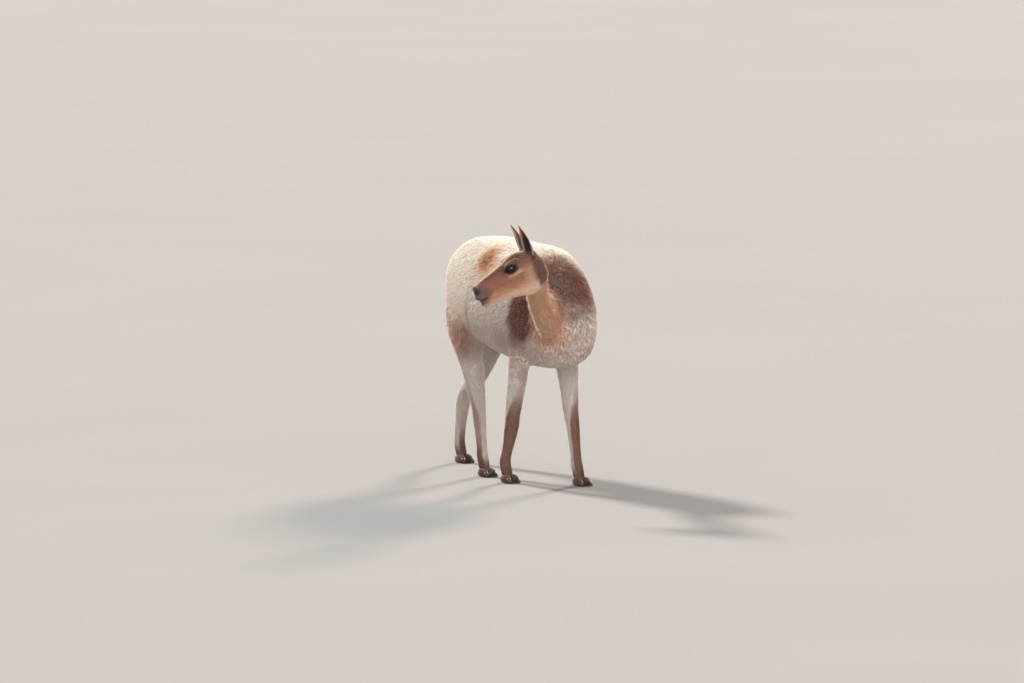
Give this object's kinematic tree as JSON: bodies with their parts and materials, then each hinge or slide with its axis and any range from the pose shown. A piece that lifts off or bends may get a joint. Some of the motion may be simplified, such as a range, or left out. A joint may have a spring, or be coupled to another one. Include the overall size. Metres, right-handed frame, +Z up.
{
  "type": "vicuna",
  "caption": "Life-size still vicuna in mid stride, its long neck held low and its head turned to its right, with pricked ears, clumped wool, a short tail and padded cloven feet.",
  "frame": {"origin": "on the ground under the middle of the box around the whole animal", "axes": "+X from the tail to the chest, +Y to the animal's left, +Z up"},
  "size_m": [1.339, 0.6814, 0.9706],
  "materials": {
    "short_fur": "short flat brown fur",
    "neck_wool": "short dense cinnamon wool",
    "wool": "dense fine pale fawn wool",
    "leg_fur": "short pale fur with a brown stripe",
    "eye": "dark wet gloss",
    "horn": "dark worn horn"
  },
  "bodies": {
    "root": {"head": "short_fur", "ear_left": "short_fur", "ear_right": "short_fur", "eye_left": "eye", "eye_right": "eye", "neck": "neck_wool", "torso": "wool", "tail": "wool", "leg_front_left": "leg_fur", "leg_front_right": "leg_fur", "leg_hind_left": "leg_fur", "leg_hind_right": "leg_fur", "nail_front_left_left": "horn", "nail_front_left_right": "horn", "nail_front_right_left": "horn", "nail_front_right_right": "horn", "nail_hind_left_left": "horn", "nail_hind_left_right": "horn", "nail_hind_right_left": "horn", "nail_hind_right_right": "horn"}
  },
  "joints": []
}
